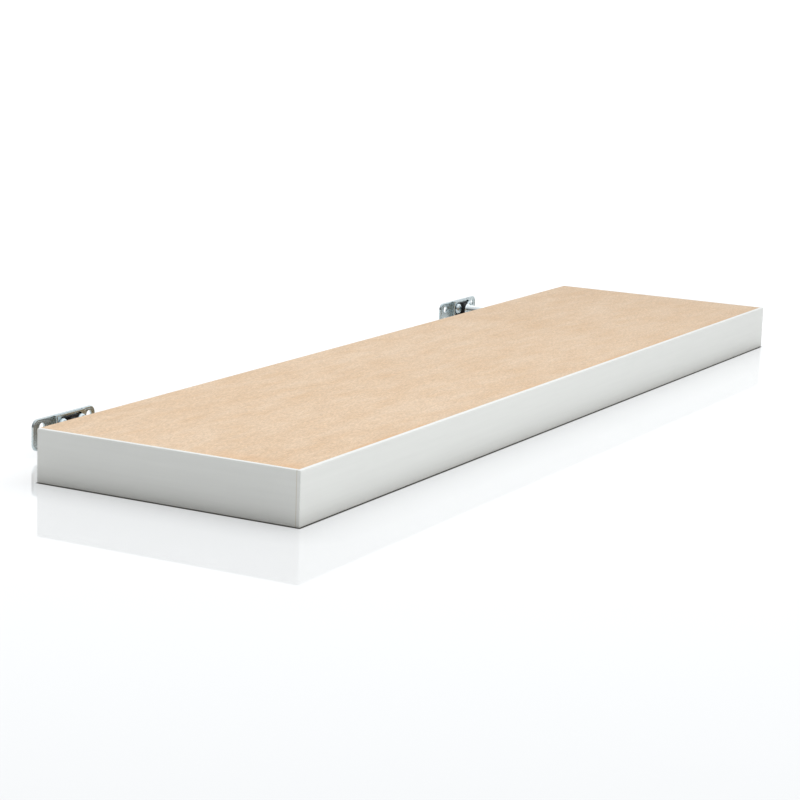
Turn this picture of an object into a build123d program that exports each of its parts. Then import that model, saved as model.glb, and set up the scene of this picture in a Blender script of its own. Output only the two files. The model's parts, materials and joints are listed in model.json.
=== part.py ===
from build123d import *
import math
import os

# A thick wall shelf with its two concealed brackets. The board lies on its underside and both brackets
# are pulled part of the way out of its back edge, as when the shelf is being fitted.
# Frame: origin at the centre of the board's underside, +X along the length, +Y towards the wall, +Z up.
# All sizes are in millimetres.

# ---------------------------------------------------------------- board
BOARD_LENGTH = 900.0
BOARD_DEPTH = 220.0
BOARD_THICKNESS = 40.0
SKIN = 3.0                      # hardboard skin, top and bottom
EDGING = 3.0                    # plastic edging on the front and on both ends
EDGING_RADIUS = 0.8             # rounding of the edging's outer edges
FRONT_RAIL_WIDTH = 30.0
END_RAIL_WIDTH = 30.0
BACK_RAIL_WIDTH = 40.0
BLOCK_WIDTH = 117.0             # solid block that takes the end of a rod, from the end rail inwards
BLOCK_DEPTH = 95.0
CELL_FLATS = 25.0               # honeycomb cell, across its flats
CELL_WALL = 0.6

# ---------------------------------------------------------------- where the brackets stand
ROD_SPACING = 700.0             # between the two rod axes
ROD_HEIGHT = 20.0               # rod axis above the underside
LEFT_GAP = 47.6                 # board's back edge to the wall plate's front face, as pulled out
RIGHT_GAP = 71.8

# ---------------------------------------------------------------- bracket
PLATE_LENGTH = 77.2
PLATE_HEIGHT = 24.4
PLATE_THICKNESS = 2.0
PLATE_CORNER = 6.0
PLATE_EDGE_RADIUS = 0.7
PLATE_RIM = 2.6                 # raised border round the dished front
DISH_DEPTH = 0.4
PLATE_SHIFT = -3.9              # plate centre from the rod axis, along X
PLATE_DROP = 2.5                # plate centre below the rod axis
SCREW_SHIFT = 1.6                # middle of the screw holes from the plate's middle, along X
SCREW_SPACING_X = 59.0
SCREW_SPACING_Z = 11.2
SCREW_HOLE_RADIUS = 3.3

SHEET = 1.2                     # housing sheet
HOUSING_WIDTH = 36.0
HOUSING_FRONT = 3.2             # front face of the housing, out from the plate's front face
HOUSING_BEND = 0.9
WINDOW_WIDTH = 31.0
WINDOW_HEIGHT = 22.4
WINDOW_CORNER = 6.5
TAB_HEIGHT = 4.0                # tabs of the housing, staked through slots in the plate
TAB_SPACING = 11.2
TAB_PLAY = 0.05
LEDGE_WIDTH = 7.0               # ledge under the carrier that holds the height screw
LEDGE_REACH = 8.6

SLIDER_WIDTH = 33.0
SLIDER_HEIGHT = 16.4
SLIDER_BACK = 0.15
SLIDER_FRONT = 1.65
SLIDER_CORNER = 1.0

CARRIER_WIDTH = 30.4
CARRIER_HEIGHT = 14.0
CARRIER_FACE = 3.4              # front of the carrier's flat body, just proud of the housing
CARRIER_NOSE = 8.0              # front of the sleeve round the rod
SLEEVE_RADIUS = 6.3
BOSS_WIDTH = 17.0
BOSS_TOP = -3.8                 # boss under the rod, from the rod axis
BOSS_BOTTOM = -7.0
BOSS_EDGE_RADIUS = 0.6

ROD_RADIUS = 5.0
ROD_LENGTH = 120.0
ROD_ROOT = 1.9
ROD_CHAMFER = 1.2
COLLAR_RADIUS = 6.2
COLLAR_START = 8.3
COLLAR_THICKNESS = 1.3
COLLAR_CHAMFER = 0.4
ROD_TILT_PLAY = 0.15            # round the rod in the carrier, for a tilt of 1.5 degrees
BORE_PLAY = 0.05                # round the rod in the board

PIN_RADIUS = 1.25
PIN_LENGTH = 12.4
PIN_REACH = 3.8                 # tilt axis, out from the plate's front face
RUNNING_PLAY = 0.05

CLAMP_SPACING = 23.4
CLAMP_RISE = 1.8                # above the rod axis
CLAMP_HEAD_RADIUS = 5.25
CLAMP_HEAD_HEIGHT = 2.8
CLAMP_HEAD_ROUND = 2.1
CLAMP_SHANK_RADIUS = 3.0
CLAMP_SEAT = 3.45
CLAMP_TIP = -0.15
CLAMP_KEY = 4.0
CLAMP_KEY_DEPTH = 1.6

HEIGHT_SCREW_RADIUS = 2.0
HEIGHT_SCREW_LENGTH = 7.3
HEIGHT_SCREW_X = -5.4
HEIGHT_SCREW_REACH = 5.6
TILT_SCREW_RADIUS = 1.5
TILT_SCREW_LENGTH = 4.0
TILT_SCREW_REACH = 6.2
TILT_SCREW_GAP = 0.15
GRUB_CHAMFER = 0.3
HEIGHT_KEY = 2.0
TILT_KEY = 1.5
GRUB_KEY_DEPTH = 1.5

# ---------------------------------------------------------------- recess for a bracket in the back edge
RECESS_PLAY = 1.0               # beyond the ends of the plate
RECESS_HEIGHT = 31.0
RECESS_DEPTH = 8.5
NOSE_RECESS_WIDTH = 25.6
NOSE_RECESS_DEPTH = 13.0
BORE_DEPTH = 128.0

# ---------------------------------------------------------------- worked out from the above
HALF_LENGTH = BOARD_LENGTH / 2
FRONT = -BOARD_DEPTH / 2
BACK = BOARD_DEPTH / 2
CORE_END = HALF_LENGTH - EDGING
CORE_FRONT = FRONT + EDGING
RAIL_SPAN = (SKIN, BOARD_THICKNESS - SKIN)
END_RAIL_INSIDE = CORE_END - END_RAIL_WIDTH
FRONT_RAIL_BACK = CORE_FRONT + FRONT_RAIL_WIDTH
BACK_RAIL_FRONT = BACK - BACK_RAIL_WIDTH
SIDES = {"left": -1, "right": 1}
GAPS = {"left": LEFT_GAP, "right": RIGHT_GAP}


def span_box(x_span, y_span, z_span):
    """A box between its low and high limits along X, Y and Z."""
    spans = (x_span, y_span, z_span)
    middle = [(low + high) / 2 for low, high in spans]
    size = [high - low for low, high in spans]
    return Pos(*middle) * Box(*size)


def outwards(outline, back, front):
    """An outline in X and Z, made solid from back to front, both measured out from the wall plate."""
    return extrude(Plane.XZ.offset(back) * outline, front - back)


def round_bar(radius, x, z, back, front):
    """A round bar that points out from the wall plate."""
    return outwards(Pos(x, z) * Circle(radius), back, front)


def rod_x(side):
    return SIDES[side] * ROD_SPACING / 2


# ---------------------------------------------------------------- the board
def skin(bottom):
    return span_box((-CORE_END, CORE_END), (CORE_FRONT, BACK), (bottom, bottom + SKIN))


def front_edging():
    """Covers the whole front and the ends of the end edgings, with its outer edges rounded."""
    strip = span_box((-HALF_LENGTH, HALF_LENGTH), (FRONT, CORE_FRONT), (0, BOARD_THICKNESS))
    front_edges = strip.faces().sort_by(Axis.Y)[0].edges()
    end_edges = strip.edges().filter_by(Axis.Y)
    return fillet(front_edges + end_edges, EDGING_RADIUS)


def end_edging(side):
    inner = SIDES[side] * CORE_END
    outer = SIDES[side] * HALF_LENGTH
    x_span = (min(inner, outer), max(inner, outer))
    strip = span_box(x_span, (CORE_FRONT, BACK), (0, BOARD_THICKNESS))
    outer_face = strip.faces().sort_by(Axis.X)[-1 if SIDES[side] > 0 else 0]
    long_edges = outer_face.edges().filter_by(Axis.Y)
    return fillet(long_edges, EDGING_RADIUS)


def front_rail():
    return span_box((-CORE_END, CORE_END), (CORE_FRONT, FRONT_RAIL_BACK), RAIL_SPAN)


def end_rail(side):
    edges = sorted((SIDES[side] * END_RAIL_INSIDE, SIDES[side] * CORE_END))
    return span_box(edges, (FRONT_RAIL_BACK, BACK_RAIL_FRONT), RAIL_SPAN)


def rod_bore(side):
    """The hole for a rod, from the back edge into the block."""
    bore = Cylinder(ROD_RADIUS + BORE_PLAY, BORE_DEPTH, rotation=(90, 0, 0))
    return Pos(rod_x(side), BACK - BORE_DEPTH / 2, ROD_HEIGHT) * bore


def bracket_recess(side):
    """The milled pocket that a bracket sinks into, with a deeper middle for its sleeve and collar."""
    centre = rod_x(side)
    half = PLATE_LENGTH / 2 + RECESS_PLAY
    z_span = (ROD_HEIGHT - RECESS_HEIGHT / 2, ROD_HEIGHT + RECESS_HEIGHT / 2)
    plate_span = (centre + PLATE_SHIFT - half, centre + PLATE_SHIFT + half)
    nose_span = (centre - NOSE_RECESS_WIDTH / 2, centre + NOSE_RECESS_WIDTH / 2)
    plate_pocket = span_box(plate_span, (BACK - RECESS_DEPTH, BACK), z_span)
    nose_pocket = span_box(nose_span, (BACK - NOSE_RECESS_DEPTH, BACK), z_span)
    return plate_pocket + nose_pocket


def back_rail():
    rail = span_box((-CORE_END, CORE_END), (BACK_RAIL_FRONT, BACK), RAIL_SPAN)
    for side in SIDES:
        rail -= bracket_recess(side)
        rail -= rod_bore(side)
    return rail


def block_box(side):
    inner_end = END_RAIL_INSIDE - BLOCK_WIDTH
    edges = sorted((SIDES[side] * END_RAIL_INSIDE, SIDES[side] * inner_end))
    return span_box(edges, (BACK_RAIL_FRONT - BLOCK_DEPTH, BACK_RAIL_FRONT), RAIL_SPAN)


def bracket_block(side):
    return block_box(side) - rod_bore(side)


def honeycomb_core():
    """One expanded comb that fills the bay between the rails and stops at the two blocks."""
    length = 2 * END_RAIL_INSIDE
    depth = BACK_RAIL_FRONT - FRONT_RAIL_BACK
    bay = Rectangle(length, depth)
    columns = math.ceil(length / (CELL_FLATS * math.cos(math.pi / 6))) + 1
    rows = math.ceil(depth / CELL_FLATS) + 1
    cell = RegularPolygon((CELL_FLATS - CELL_WALL) / 2, 6, major_radius=False)
    cells = HexLocations(CELL_FLATS / 2, columns, rows, major_radius=False) * cell
    wall = Rectangle(length - 2 * CELL_WALL, depth - 2 * CELL_WALL)
    comb = bay - (Sketch() + cells & wall)
    middle = (FRONT_RAIL_BACK + BACK_RAIL_FRONT) / 2
    core = Pos(0, middle, SKIN) * extrude(comb, BOARD_THICKNESS - 2 * SKIN)
    for side in SIDES:
        core -= block_box(side)
    return core


# ---------------------------------------------------------------- a bracket, about its rod axis
# x = 0 and z = 0 on the rod axis, y = 0 on the wall plate's front face, the shelf towards -y.
def on_plate(outline):
    return Pos(PLATE_SHIFT, -PLATE_DROP) * outline


def tab_outlines(play):
    """The four tabs of the housing's side walls, or with play the slots that they pass through."""
    tab = Rectangle(SHEET + 2 * play, TAB_HEIGHT + 2 * play)
    spots = GridLocations(HOUSING_WIDTH - SHEET, TAB_SPACING, 2, 2)
    return Pos(0, -PLATE_DROP) * (Sketch() + spots * tab)


def wall_plate():
    outline = on_plate(RectangleRounded(PLATE_LENGTH, PLATE_HEIGHT, PLATE_CORNER))
    plate = outwards(outline, -PLATE_THICKNESS, 0)
    front_edges = plate.faces().sort_by(Axis.Y)[0].edges()
    plate = fillet(front_edges, PLATE_EDGE_RADIUS)
    dish_length = PLATE_LENGTH - 2 * PLATE_RIM
    dish_height = PLATE_HEIGHT - 2 * PLATE_RIM
    dish = on_plate(RectangleRounded(dish_length, dish_height, PLATE_CORNER - PLATE_RIM))
    plate -= outwards(dish, -DISH_DEPTH, 0)
    holes = GridLocations(SCREW_SPACING_X, SCREW_SPACING_Z, 2, 2) * Circle(SCREW_HOLE_RADIUS)
    holes = Pos(SCREW_SHIFT, 0) * (Sketch() + holes)
    plate -= outwards(on_plate(holes), -PLATE_THICKNESS, 0)
    plate -= outwards(tab_outlines(TAB_PLAY), -PLATE_THICKNESS, 0)
    return plate


def housing():
    """A pressed bridge, open above and below, with a window and a ledge for the height screw."""
    middle = Pos(0, -PLATE_DROP)
    inside_width = HOUSING_WIDTH - 2 * SHEET
    full_height = PLATE_HEIGHT - 2 * PLATE_RIM
    bridge = outwards(middle * Rectangle(HOUSING_WIDTH, PLATE_HEIGHT), 0, HOUSING_FRONT)
    bends = bridge.faces().sort_by(Axis.Y)[0].edges().filter_by(Axis.Z)
    bridge = fillet(bends, HOUSING_BEND)
    bridge += outwards(middle * Rectangle(HOUSING_WIDTH, full_height), -DISH_DEPTH, 0)
    bridge += outwards(tab_outlines(0), -PLATE_THICKNESS, 0)
    inside = middle * Rectangle(inside_width, PLATE_HEIGHT)
    bridge -= outwards(inside, -PLATE_THICKNESS, HOUSING_FRONT - SHEET)
    window = middle * RectangleRounded(WINDOW_WIDTH, WINDOW_HEIGHT, WINDOW_CORNER)
    bridge -= outwards(window, HOUSING_FRONT - SHEET, HOUSING_FRONT)
    ledge_bottom = -PLATE_DROP - PLATE_HEIGHT / 2
    ledge_x = (HEIGHT_SCREW_X - LEDGE_WIDTH / 2, HEIGHT_SCREW_X + LEDGE_WIDTH / 2)
    ledge_y = (-LEDGE_REACH, SHEET - HOUSING_FRONT)
    bridge += span_box(ledge_x, ledge_y, (ledge_bottom, ledge_bottom + SHEET))
    thread = Cylinder(HEIGHT_SCREW_RADIUS + RUNNING_PLAY, 3 * SHEET)
    return bridge - Pos(HEIGHT_SCREW_X, -HEIGHT_SCREW_REACH, ledge_bottom) * thread


def clamp_holes(back, front):
    spots = GridLocations(CLAMP_SPACING, 0, 2, 1) * Circle(CLAMP_SHANK_RADIUS + RUNNING_PLAY)
    return outwards(Pos(0, CLAMP_RISE) * (Sketch() + spots), back, front)


def slider_plate():
    outline = RectangleRounded(SLIDER_WIDTH, SLIDER_HEIGHT, SLIDER_CORNER)
    return outwards(outline, SLIDER_BACK, SLIDER_FRONT) - clamp_holes(SLIDER_BACK, SLIDER_FRONT)


def rod_carrier():
    """The black block that holds the rod: a flat body in the window, a sleeve and a boss under it."""
    flat_width = CARRIER_WIDTH - CARRIER_HEIGHT
    body = outwards(SlotCenterToCenter(flat_width, CARRIER_HEIGHT), SLIDER_FRONT, CARRIER_FACE)
    body += round_bar(SLEEVE_RADIUS, 0, 0, CARRIER_FACE, CARRIER_NOSE)
    boss = span_box(
        (-BOSS_WIDTH / 2, BOSS_WIDTH / 2), (-CARRIER_NOSE, -CARRIER_FACE), (BOSS_BOTTOM, BOSS_TOP)
    )
    body += fillet(boss.edges().filter_by(Axis.Y), BOSS_EDGE_RADIUS)
    body -= round_bar(ROD_RADIUS + ROD_TILT_PLAY, 0, 0, SLIDER_FRONT, CARRIER_NOSE)
    body -= clamp_holes(SLIDER_FRONT, CARRIER_FACE)
    body -= tilt_pin()
    tilt_thread = Cylinder(TILT_SCREW_RADIUS + RUNNING_PLAY, 2 * TILT_SCREW_LENGTH)
    return body - Pos(0, -TILT_SCREW_REACH, BOSS_BOTTOM) * tilt_thread


def tilt_pin():
    return Pos(0, -PIN_REACH, 0) * Cylinder(PIN_RADIUS, PIN_LENGTH, rotation=(0, 90, 0))


def support_rod():
    """The steel rod, with a collar in front of the carrier and a cross hole for the tilt pin."""
    rod = round_bar(ROD_RADIUS, 0, 0, ROD_ROOT, ROD_ROOT + ROD_LENGTH)
    tip = rod.edges().sort_by(Axis.Y)[0]
    rod = chamfer(tip, ROD_CHAMFER)
    collar = round_bar(COLLAR_RADIUS, 0, 0, COLLAR_START, COLLAR_START + COLLAR_THICKNESS)
    rod += chamfer(collar.edges().filter_by(GeomType.CIRCLE), COLLAR_CHAMFER)
    cross_hole = Cylinder(PIN_RADIUS + RUNNING_PLAY, 4 * ROD_RADIUS, rotation=(0, 90, 0))
    return rod - Pos(0, -PIN_REACH, 0) * cross_hole


def clamp_screw(side):
    """A button-head screw through the carrier, threaded in the slider plate behind it."""
    x = SIDES[side] * CLAMP_SPACING / 2
    head_front = CLAMP_SEAT + CLAMP_HEAD_HEIGHT
    head = round_bar(CLAMP_HEAD_RADIUS, x, CLAMP_RISE, CLAMP_SEAT, head_front)
    head = fillet(head.edges().sort_by(Axis.Y)[0], CLAMP_HEAD_ROUND)
    key = RegularPolygon(CLAMP_KEY / 2, 6, major_radius=False)
    head -= outwards(Pos(x, CLAMP_RISE) * key, head_front - CLAMP_KEY_DEPTH, head_front)
    return head + round_bar(CLAMP_SHANK_RADIUS, x, CLAMP_RISE, CLAMP_TIP, CLAMP_SEAT)


def grub_screw(radius, length, key):
    """An upright grub screw with its top at z = 0 and its key socket in the lower end."""
    screw = Pos(0, 0, -length / 2) * Cylinder(radius, length)
    screw = chamfer(screw.edges().filter_by(GeomType.CIRCLE), GRUB_CHAMFER)
    socket = extrude(RegularPolygon(key / 2, 6, major_radius=False), GRUB_KEY_DEPTH)
    return screw - Pos(0, 0, -length) * socket


def height_screw():
    screw = grub_screw(HEIGHT_SCREW_RADIUS, HEIGHT_SCREW_LENGTH, HEIGHT_KEY)
    return Pos(HEIGHT_SCREW_X, -HEIGHT_SCREW_REACH, BOSS_BOTTOM) * screw


def tilt_screw():
    screw = grub_screw(TILT_SCREW_RADIUS, TILT_SCREW_LENGTH, TILT_KEY)
    return Pos(0, -TILT_SCREW_REACH, -ROD_RADIUS - TILT_SCREW_GAP) * screw


def bracket_parts():
    return {
        "wall_plate": wall_plate(),
        "housing": housing(),
        "slider_plate": slider_plate(),
        "rod_carrier": rod_carrier(),
        "support_rod": support_rod(),
        "tilt_pin": tilt_pin(),
        "clamp_screw_a": clamp_screw("left"),
        "clamp_screw_b": clamp_screw("right"),
        "height_screw": height_screw(),
        "tilt_screw": tilt_screw(),
    }


def board_parts():
    parts = {
        "top_skin": skin(BOARD_THICKNESS - SKIN),
        "bottom_skin": skin(0),
        "front_edging": front_edging(),
        "front_rail": front_rail(),
        "back_rail": back_rail(),
        "honeycomb_core": honeycomb_core(),
    }
    for side in SIDES:
        parts[side + "_edging"] = end_edging(side)
        parts[side + "_end_rail"] = end_rail(side)
        parts[side + "_bracket_block"] = bracket_block(side)
    return parts


def main():
    os.makedirs("parts", exist_ok=True)
    nodes = board_parts()
    for side in SIDES:
        place = Pos(rod_x(side), BACK + GAPS[side], ROD_HEIGHT)
        for name, part in bracket_parts().items():
            nodes[side + "_" + name] = place * part
    for name, part in nodes.items():
        export_step(part, os.path.join("parts", name + ".step"))


main()
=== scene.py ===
"""Wall shelf with concealed brackets: finishes and small parts built round its CAD frame."""

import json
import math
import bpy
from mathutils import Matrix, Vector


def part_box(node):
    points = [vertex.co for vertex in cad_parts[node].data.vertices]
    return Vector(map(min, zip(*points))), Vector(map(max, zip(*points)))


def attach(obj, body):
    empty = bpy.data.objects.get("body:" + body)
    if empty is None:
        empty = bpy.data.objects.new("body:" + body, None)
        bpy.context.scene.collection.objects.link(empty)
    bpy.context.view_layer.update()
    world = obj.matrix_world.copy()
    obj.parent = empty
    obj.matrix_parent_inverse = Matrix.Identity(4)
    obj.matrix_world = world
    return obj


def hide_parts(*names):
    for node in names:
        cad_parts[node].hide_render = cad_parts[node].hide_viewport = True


bl_info = {
    "name": "Wall shelf with concealed brackets",
    "version": (1, 0, 0),
    "blender": (4, 5, 0),
    "location": "3D View > Sidebar > Wall shelf",
    "description": "Finishes the board and models the stamped and turned parts of its brackets",
    "category": "Object",
}

import bmesh
import bpy
from bpy.props import FloatProperty, FloatVectorProperty, PointerProperty
from mathutils import Matrix, Vector

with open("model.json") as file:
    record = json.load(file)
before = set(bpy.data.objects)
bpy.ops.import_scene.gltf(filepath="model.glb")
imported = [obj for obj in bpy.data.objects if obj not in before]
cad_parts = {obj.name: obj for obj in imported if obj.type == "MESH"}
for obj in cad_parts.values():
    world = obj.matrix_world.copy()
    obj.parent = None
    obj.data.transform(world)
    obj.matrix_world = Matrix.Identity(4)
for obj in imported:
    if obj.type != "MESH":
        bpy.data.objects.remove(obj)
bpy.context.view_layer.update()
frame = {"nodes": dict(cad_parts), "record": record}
MOUNTS = {mount["name"]: mount for mount in frame["record"]["mounts"]}
SIDES = ("left", "right")
SCREW_ENDS = ("a", "b")
MM = 0.001


# ---------------------------------------------------------------- settings
class BoardSettings(bpy.types.PropertyGroup):
    """Colours and grain of the board."""

    hardboard: FloatVectorProperty(
        name="Hardboard", description="Raw hardboard of the skins", subtype="COLOR", size=3,
        min=0, max=1, default=(0.535, 0.396, 0.270),
    )
    hardboard_light: FloatVectorProperty(
        name="Hardboard, pale fibres", description="Paler patches of fibre", subtype="COLOR", size=3,
        min=0, max=1, default=(0.570, 0.448, 0.332),
    )
    hardboard_dark: FloatVectorProperty(
        name="Hardboard, warm patches", description="Warmer, denser patches", subtype="COLOR", size=3,
        min=0, max=1, default=(0.485, 0.332, 0.203),
    )
    patch_size: FloatProperty(
        name="Patch size", description="Width of a cloudy patch", unit="LENGTH", min=0.001, default=0.014
    )
    edging: FloatVectorProperty(
        name="Edging", description="Plastic of the edge strips", subtype="COLOR", size=3,
        min=0, max=1, default=(0.615, 0.626, 0.614),
    )
    glue: FloatVectorProperty(
        name="Glue line", description="Thin line of glue behind the front strip", subtype="COLOR", size=3,
        min=0, max=1, default=(0.42, 0.36, 0.24),
    )
    glue_width: FloatProperty(
        name="Glue line width", description="Width of that line", unit="LENGTH", min=0, default=0.00035
    )
    frame_wood: FloatVectorProperty(
        name="Frame wood", description="Softwood of the rails and blocks", subtype="COLOR", size=3,
        min=0, max=1, default=(0.60, 0.42, 0.235),
    )


class BracketSettings(bpy.types.PropertyGroup):
    """Finish and small sizes of the brackets."""

    zinc: FloatVectorProperty(
        name="Zinc", description="Bright zinc plating", subtype="COLOR", size=3,
        min=0, max=1, default=(0.43, 0.505, 0.535),
    )
    # Painted highlight: the rods' zinc is much paler than the plates' to stand for the bright glare on them.
    zinc_rod: FloatVectorProperty(
        name="Zinc of the rods", description="Brighter, drawn surface", subtype="COLOR", size=3,
        min=0, max=1, default=(0.74, 0.79, 0.81),
    )
    zinc_screw: FloatVectorProperty(
        name="Zinc of the screws", description="Bright screw heads", subtype="COLOR", size=3,
        min=0, max=1, default=(0.50, 0.57, 0.60),
    )
    # Partly the brownish tint of the passivated plating, partly a painted reflection of the brown board
    # beside the brackets.
    zinc_warm_tint_and_reflection: FloatVectorProperty(
        name="Zinc, warm cast", description="Brownish cast of the passivated film", subtype="COLOR", size=3,
        min=0, max=1, default=(0.38, 0.325, 0.265),
    )
    plastic: FloatVectorProperty(
        name="Black plastic", description="Moulded rod carrier", subtype="COLOR", size=3,
        min=0, max=1, default=(0.008, 0.008, 0.009),
    )
    plate_corner: FloatProperty(
        name="Plate corner", description="Corner radius of the wall plate", unit="LENGTH", default=6.0 * MM
    )
    plate_edge: FloatProperty(
        name="Plate edge", description="Rounding of its front edge", unit="LENGTH", default=0.7 * MM
    )
    plate_rim: FloatProperty(
        name="Plate rim", description="Flat border outside the dish", unit="LENGTH", default=1.9 * MM
    )
    dish_depth: FloatProperty(
        name="Dish depth", description="How far the middle is pressed back", unit="LENGTH", default=0.4 * MM
    )
    dish_slope: FloatProperty(
        name="Dish slope", description="Width of the sloping wall of the dish", unit="LENGTH",
        default=0.7 * MM,
    )
    soft_edge: FloatProperty(
        name="Broken edge", description="Rounding of every other edge", unit="LENGTH", default=0.12 * MM
    )


class StageSettings(bpy.types.PropertyGroup):
    """Camera, floor and lights."""

    camera_place: FloatVectorProperty(
        name="Camera place", description="Where the camera stands", subtype="TRANSLATION", unit="LENGTH",
        size=3, default=(-1.74686, -0.88444, 0.39279),
    )
    heading: FloatProperty(
        name="Heading", description="Turn from +Y towards +X", subtype="ANGLE", default=math.radians(61.62)
    )
    downward: FloatProperty(
        name="Downward tilt", description="Below the horizon", subtype="ANGLE", default=math.radians(11.32)
    )
    roll: FloatProperty(
        name="Roll", description="Lean of the camera", subtype="ANGLE", default=math.radians(1.96)
    )
    lens: FloatProperty(name="Lens", description="Focal length, in millimetres", default=103.9)
    floor_size: FloatProperty(name="Floor", description="Width of the floor", unit="LENGTH", default=80.0)
    table_glow: FloatProperty(name="Table glow", description="Light from below the table", default=0.465)
    # Painted shade: how much of the table's glow is left at the board's foot, and how far that painted shade
    # reaches.
    shade: FloatProperty(name="Shade", description="Glow left at the board's foot", default=0.84)
    shade_width: FloatProperty(
        name="Shade width", description="Reach of that shade", unit="LENGTH", default=0.045
    )
    softbox: FloatProperty(name="Softbox", description="Power of the box above, in watts", default=7.8)
    sky: FloatProperty(name="Sky", description="Light from every side", default=0.14)
    overhead: FloatProperty(name="Overhead", description="Light from straight above", default=0.86)
    front: FloatProperty(name="Front", description="Light from in front of the shelf", default=0.78)
    behind: FloatProperty(name="Behind", description="Light from the backdrop", default=0.95)


# ---------------------------------------------------------------- working with objects
def deselect():
    """Back to object mode with nothing selected."""
    if bpy.context.object and bpy.context.object.mode != "OBJECT":
        bpy.ops.object.mode_set(mode="OBJECT")
    bpy.ops.object.select_all(action="DESELECT")


def pick(piece):
    """Make a piece the only selected and active one."""
    deselect()
    piece.select_set(True)
    bpy.context.view_layer.objects.active = piece


def take_primitive(name):
    """Name the primitive just added and put its place into its mesh."""
    piece = bpy.context.object
    piece.name = name
    piece.data.name = name
    bpy.ops.object.transform_apply(location=True, rotation=True, scale=True)
    return piece


def add_block(name, low, high):
    """A block between two opposite corners."""
    deselect()
    middle = (Vector(low) + Vector(high)) / 2
    size = Vector(high) - Vector(low)
    bpy.ops.mesh.primitive_cube_add(size=1, location=middle, scale=size)
    return take_primitive(name)


def add_bar(name, radius, start, end, sides):
    """A round bar from one point to another, with the given number of sides."""
    deselect()
    run = Vector(end) - Vector(start)
    turn = run.to_track_quat("Z", "Y").to_euler()
    bpy.ops.mesh.primitive_cylinder_add(
        vertices=sides, radius=radius, depth=run.length,
        location=(Vector(start) + Vector(end)) / 2, rotation=turn,
    )
    return take_primitive(name)


def edit(piece, mode):
    """Edit mode on a piece with nothing selected, in VERT, EDGE or FACE mode."""
    pick(piece)
    bpy.ops.object.mode_set(mode="EDIT")
    bpy.ops.mesh.select_mode(type=mode)
    bpy.ops.mesh.select_all(action="DESELECT")


def choose_faces(piece, wanted):
    """Select the faces that pass a test of centre and normal."""
    mesh = bmesh.from_edit_mesh(piece.data)
    for face in mesh.faces:
        face.select_set(wanted(face.calc_center_median(), face.normal))
    bmesh.update_edit_mesh(piece.data)


def choose_edges(piece, wanted):
    """Select the edges that pass a test of their two ends."""
    mesh = bmesh.from_edit_mesh(piece.data)
    for edge in mesh.edges:
        edge.select_set(wanted(edge.verts[0].co, edge.verts[1].co))
    bmesh.update_edit_mesh(piece.data)


def along(axis):
    """A test for edges that run along one axis."""
    def test(start, end):
        run = end - start
        return abs(run[axis]) > 0.99 * run.length
    return test


def in_plane(axis, place, slack=1e-6):
    """A test for edges that lie in one plane."""
    def test(start, end):
        return abs(start[axis] - place) < slack and abs(end[axis] - place) < slack
    return test


def finish_mesh(piece, soft_edge, angle=math.radians(35)):
    """Break the sharp edges, then shade smooth across all but the sharp ones."""
    pick(piece)
    if soft_edge:
        bevel = piece.modifiers.new("broken edges", "BEVEL")
        bevel.width = soft_edge
        bevel.segments = 2
        bevel.limit_method = "ANGLE"
        bevel.angle_limit = angle
        bevel.harden_normals = False
        bpy.ops.object.modifier_apply(modifier=bevel.name)
    bpy.ops.object.shade_smooth_by_angle(angle=angle)
    level = piece.modifiers.new("flat faces stay flat", "WEIGHTED_NORMAL")
    level.weight = 100
    level.keep_sharp = True
    bpy.ops.object.modifier_apply(modifier=level.name)
    deselect()
    return piece


def cut_away(piece, cutters):
    """Take each cutter out of the piece, and delete the cutter."""
    for cutter in cutters:
        pick(piece)
        cut = piece.modifiers.new("cut", "BOOLEAN")
        cut.operation = "DIFFERENCE"
        cut.solver = "EXACT"
        cut.object = cutter
        bpy.ops.object.modifier_apply(modifier=cut.name)
        bpy.data.objects.remove(cutter)
    return piece


def softened_copy(node, name, soft_edge):
    """A copy of a CAD node with its triangles merged and its edges broken."""
    source = frame["nodes"][node]
    mesh = source.data.copy()
    mesh.name = name
    piece = bpy.data.objects.new(name, mesh)
    bpy.context.scene.collection.objects.link(piece)
    edit(piece, "VERT")
    bpy.ops.mesh.select_all(action="SELECT")
    bpy.ops.mesh.remove_doubles(threshold=2e-6)
    bpy.ops.mesh.dissolve_limited(angle_limit=math.radians(0.5))
    bpy.ops.mesh.normals_make_consistent(inside=False)
    return finish_mesh(piece, soft_edge)


def dress(piece, material):
    """Give a piece or a CAD node one material."""
    piece.data.materials.clear()
    piece.data.materials.append(material)
    for face in piece.data.polygons:
        face.material_index = 0


def mount_piece(piece, node, body):
    """The piece stands for a CAD node and moves with its body."""
    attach(piece, body)
    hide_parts(node)


# ---------------------------------------------------------------- node helpers
def add_node(tree, kind, inputs=None, **settings):
    """A node with its settings, each input either a value or another node's output."""
    made = tree.nodes.new(kind)
    for name, value in settings.items():
        setattr(made, name, value)
    for name, value in (inputs or {}).items():
        if isinstance(value, bpy.types.NodeSocket):
            tree.links.new(value, made.inputs[name])
        else:
            made.inputs[name].default_value = value
    return made


def sums(tree, operation, first, second=0.5, third=None, clamp=False):
    """The result of one Math node."""
    inputs = {0: first, 1: second}
    if third is not None:
        inputs[2] = third
    return add_node(tree, "ShaderNodeMath", inputs, operation=operation, use_clamp=clamp).outputs[0]


def blend(tree, amount, first, second, how="MIX"):
    """The colour output of a Mix node."""
    inputs = {0: amount, 6: first, 7: second}
    return add_node(tree, "ShaderNodeMix", inputs, data_type="RGBA", blend_type=how).outputs[2]


def remap(tree, value, low, high, out_low=0.0, out_high=1.0):
    """A value brought from one range to another, and kept inside it."""
    inputs = {"Value": value, "From Min": low, "From Max": high, "To Min": out_low, "To Max": out_high}
    return add_node(tree, "ShaderNodeMapRange", inputs, clamp=True).outputs[0]


def stretched(tree, vector, scale):
    """A vector with each direction scaled on its own."""
    return add_node(tree, "ShaderNodeMapping", {"Vector": vector, "Scale": scale}).outputs[0]


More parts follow.
